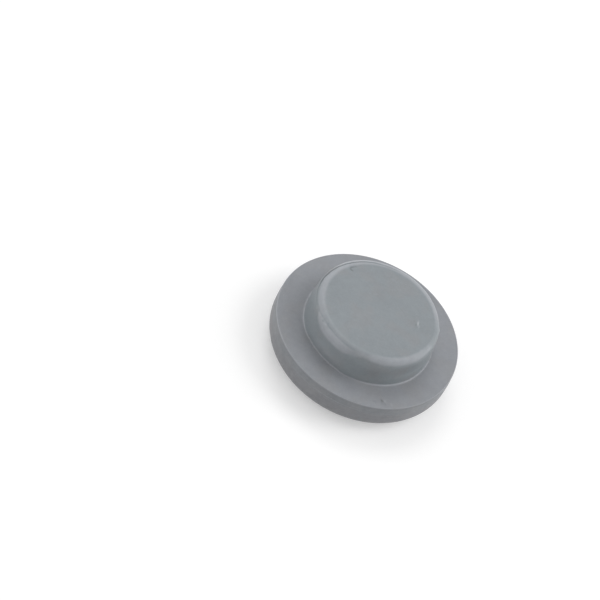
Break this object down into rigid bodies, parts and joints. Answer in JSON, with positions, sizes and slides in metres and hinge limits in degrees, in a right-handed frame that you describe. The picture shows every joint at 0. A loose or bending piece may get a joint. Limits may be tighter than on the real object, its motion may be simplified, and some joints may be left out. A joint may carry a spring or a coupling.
{
  "type": "rubber stopper",
  "caption": "Round grey rubber stopper for a crimp-neck vial, with a short solid plug, a thick flange with a rounded crown, a shallow recess and raised spacer dots.",
  "frame": {"origin": "centre of the bottom of the part's box: the stopper's axis meets the surface that its spacer dots stand on", "axes": "+Z runs along the stopper's axis, out of the plug; X and Y lie in the plane of the flange, halfway between dots"},
  "size_m": [0.019, 0.019, 0.0072],
  "materials": {
    "rubber": "matte moulded grey rubber"
  },
  "bodies": {
    "root": {"stopper": "rubber"}
  },
  "joints": []
}
